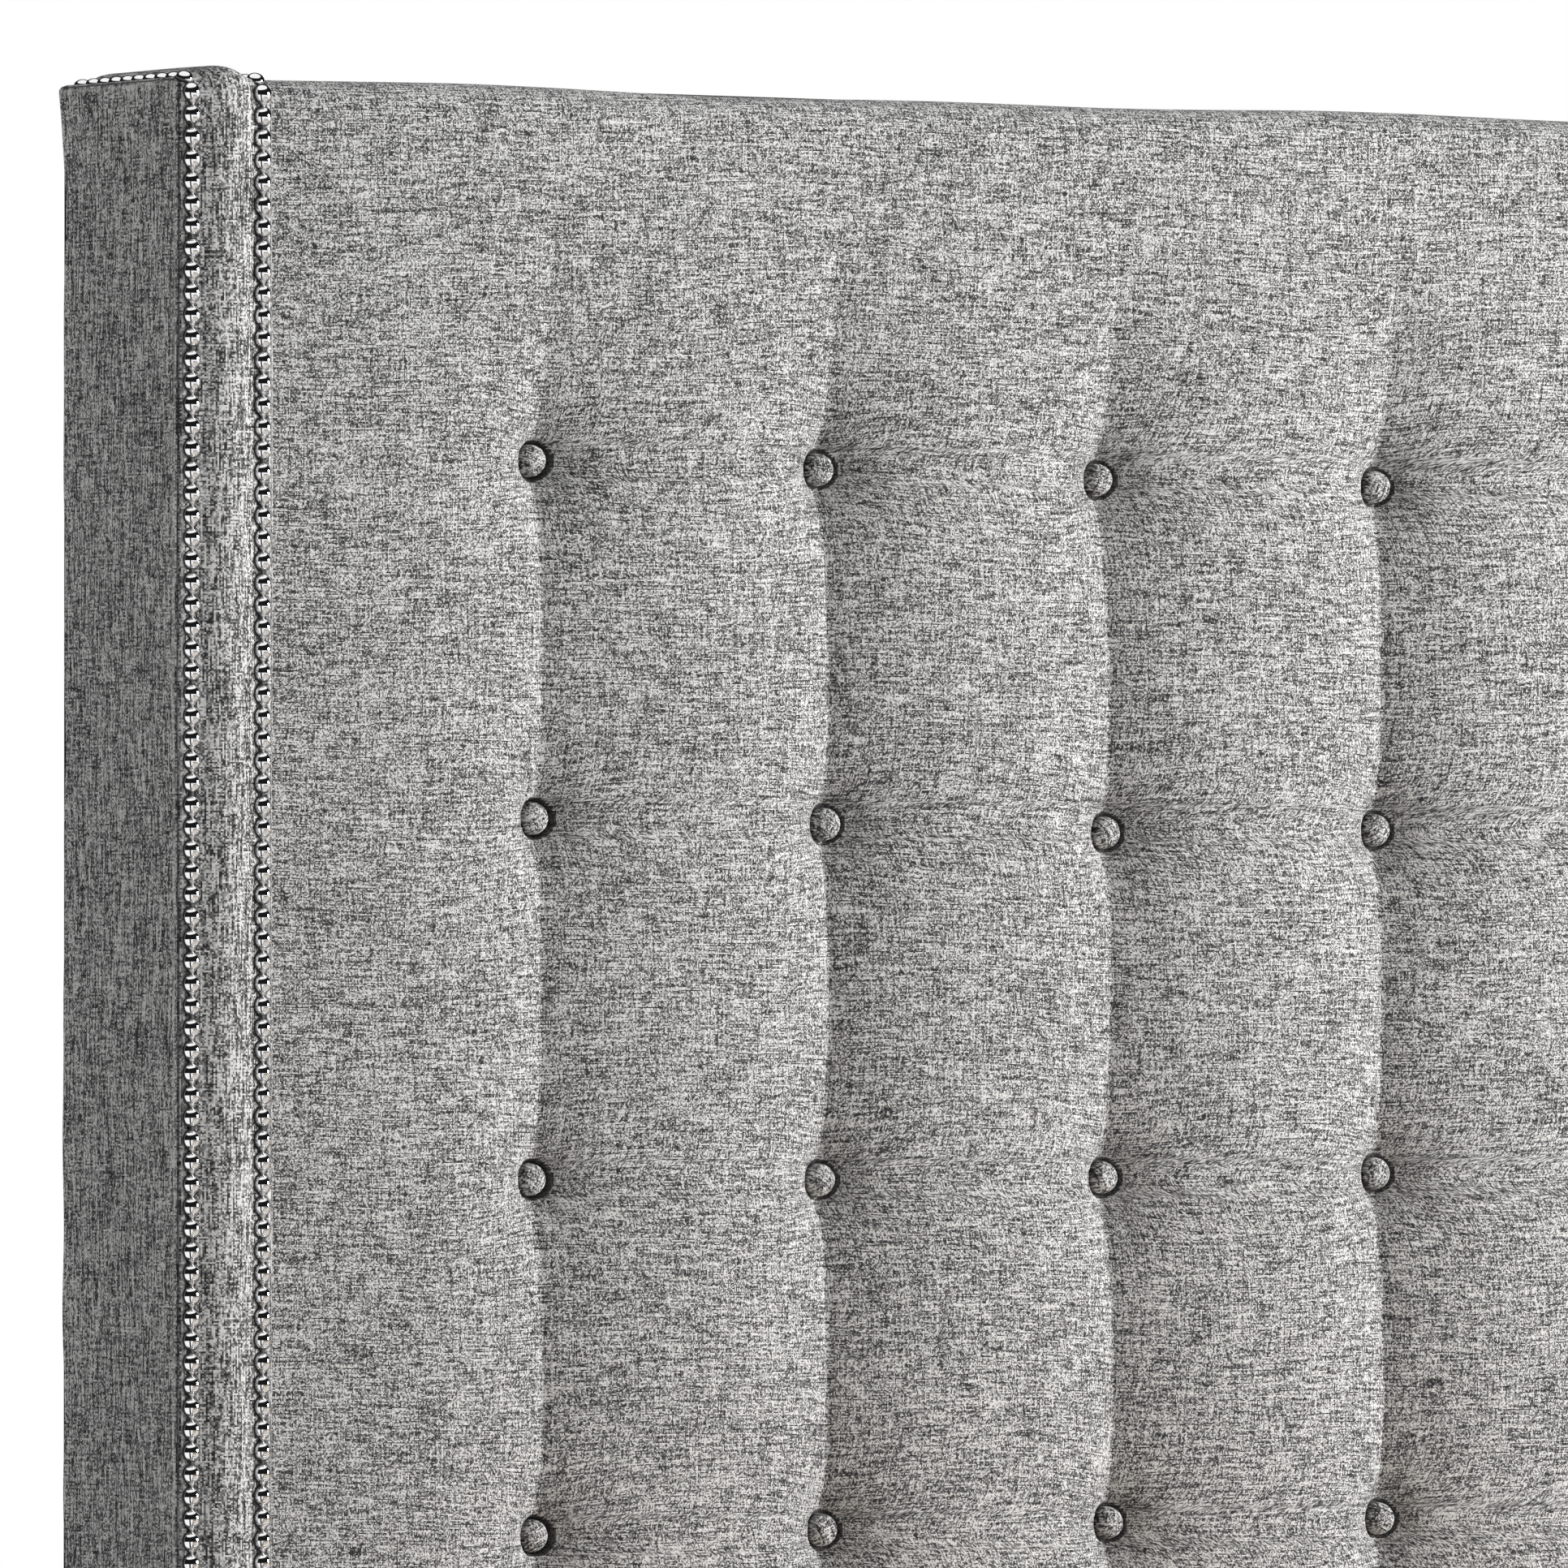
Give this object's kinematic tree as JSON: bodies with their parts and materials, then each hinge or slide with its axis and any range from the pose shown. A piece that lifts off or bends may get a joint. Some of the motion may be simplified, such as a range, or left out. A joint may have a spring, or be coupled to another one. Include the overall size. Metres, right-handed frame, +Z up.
{
  "type": "wingback bed",
  "caption": "Upholstered platform bed with a button-tufted wingback headboard, nailhead trim, side rails, footboard and slatted base with a centre support.",
  "frame": {"origin": "on the floor, under the middle of the bed", "axes": "+Z up, +Y from the foot towards the headboard, +X to the right of someone at the foot facing the headboard"},
  "size_m": [1.691, 2.2078, 1.372],
  "materials": {
    "upholstery_fabric": "light grey heathered weave with slubs",
    "back_fabric": "dark non-woven lining",
    "twine": "waxed tufting twine",
    "nail_chrome": "polished nickel-chrome trim",
    "zinc_steel": "zinc-plated pressed steel",
    "bright_steel": "bright zinc-plated fasteners",
    "black_plastic": "moulded black plastic",
    "webbing": "woven black webbing",
    "dark_wood": "dark stained hardwood",
    "slat_wood": "planed softwood",
    "plywood": "plywood sheet",
    "frame_wood": "planed softwood frame timber"
  },
  "bodies": {
    "bed_frame": {"beam_hangers": "zinc_steel", "centre_beam": "frame_wood", "centre_leg_foot": "zinc_steel", "centre_leg_head": "zinc_steel", "cleat_screws": "bright_steel", "floor_glides": "black_plastic", "footboard_board": "frame_wood", "footboard_inner_cover": "upholstery_fabric", "footboard_leg_left": "dark_wood", "footboard_leg_right": "dark_wood", "footboard_pad": "upholstery_fabric", "headboard_back_cover": "back_fabric", "headboard_bottom_rail": "frame_wood", "headboard_middle_rail": "frame_wood", "headboard_plywood": "plywood", "headboard_post_left": "frame_wood", "headboard_post_right": "frame_wood", "headboard_top_rail": "frame_wood", "inner_nail_strip_left": "nail_chrome", "inner_nail_strip_right": "nail_chrome", "outer_nail_strip_left": "nail_chrome", "outer_nail_strip_right": "nail_chrome", "plate_screws": "bright_steel", "rail_hook_plates": "zinc_steel", "rail_slot_plates": "zinc_steel", "side_rail_board_left": "frame_wood", "side_rail_board_right": "frame_wood", "side_rail_cover_left": "upholstery_fabric", "side_rail_cover_right": "upholstery_fabric", "slat_01": "slat_wood", "slat_02": "slat_wood", "slat_03": "slat_wood", "slat_04": "slat_wood", "slat_05": "slat_wood", "slat_06": "slat_wood", "slat_07": "slat_wood", "slat_08": "slat_wood", "slat_09": "slat_wood", "slat_10": "slat_wood", "slat_11": "slat_wood", "slat_cleat_left": "frame_wood", "slat_cleat_right": "frame_wood", "slat_straps": "webbing", "strip_nails": "nail_chrome", "tuft_buttons": "upholstery_fabric", "tuft_ties": "twine", "tufted_pad": "upholstery_fabric", "wing_bolts": "bright_steel", "wing_frame_left": "frame_wood", "wing_frame_right": "frame_wood", "wing_front_band_left": "upholstery_fabric", "wing_front_band_right": "upholstery_fabric", "wing_inner_cover_left": "upholstery_fabric", "wing_inner_cover_right": "upholstery_fabric", "wing_outer_cover_left": "upholstery_fabric", "wing_outer_cover_right": "upholstery_fabric"},
    "levelling_pad_head": {"levelling_pad_head": "black_plastic"},
    "levelling_stem_head": {"levelling_stem_head": "bright_steel"},
    "levelling_pad_foot": {"levelling_pad_foot": "black_plastic"},
    "levelling_stem_foot": {"levelling_stem_foot": "bright_steel"}
  },
  "joints": [
    {"name": "foot_lift_head", "type": "slide", "parent": "bed_frame", "child": "levelling_pad_head", "axis": [0, 0, 1], "range_m": [-0.012, 0.012]},
    {"name": "stem_turn_head", "type": "hinge", "parent": "levelling_pad_head", "child": "levelling_stem_head", "pos_m": [0, 0.552, 0.03], "axis": [0, 0, 1], "range_deg": [-2900, 2900]},
    {"name": "foot_lift_foot", "type": "slide", "parent": "bed_frame", "child": "levelling_pad_foot", "axis": [0, 0, 1], "range_m": [-0.012, 0.012]},
    {"name": "stem_turn_foot", "type": "hinge", "parent": "levelling_pad_foot", "child": "levelling_stem_foot", "pos_m": [0, -0.552, 0.03], "axis": [0, 0, 1], "range_deg": [-2900, 2900]}
  ],
  "couplings": [
    {"joint": "stem_turn_head", "follows": "foot_lift_head", "rad_per_m": 4188.8},
    {"joint": "stem_turn_foot", "follows": "foot_lift_foot", "rad_per_m": 4188.8}
  ]
}
